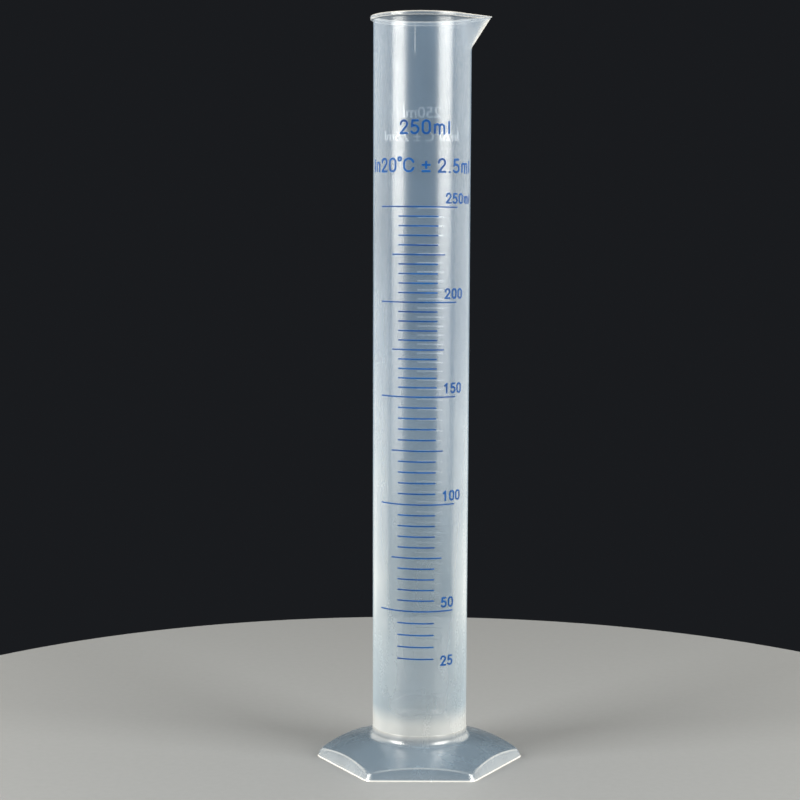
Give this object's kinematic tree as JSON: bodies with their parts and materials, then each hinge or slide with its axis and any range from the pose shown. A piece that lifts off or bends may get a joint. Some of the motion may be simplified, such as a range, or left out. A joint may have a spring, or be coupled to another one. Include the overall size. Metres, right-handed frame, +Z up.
{
  "type": "graduated cylinder",
  "caption": "Tall translucent plastic measuring cylinder with a pouring spout, a printed volume scale and a hollow six-sided foot.",
  "frame": {"origin": "on the tube's axis, in the plane that the foot stands on", "axes": "+Z up along the tube, +X towards the pouring spout, the printed scale faces -Y"},
  "size_m": [0.091, 0.08, 0.3256],
  "materials": {
    "tube_plastic": "milky translucent polypropylene, smooth and softly glossy",
    "foot_plastic": "milky translucent polypropylene, smooth and softly glossy",
    "blue_ink": "screen-printed blue ink, thin and satin"
  },
  "bodies": {
    "root": {"measuring_tube": "tube_plastic", "hexagonal_foot": "foot_plastic", "long_scale_lines": "blue_ink", "medium_scale_lines": "blue_ink", "short_scale_lines": "blue_ink", "number_250ml": "blue_ink", "number_200": "blue_ink", "number_150": "blue_ink", "number_100": "blue_ink", "number_50": "blue_ink", "number_25": "blue_ink", "capacity_legend": "blue_ink", "tolerance_legend": "blue_ink"}
  },
  "joints": []
}
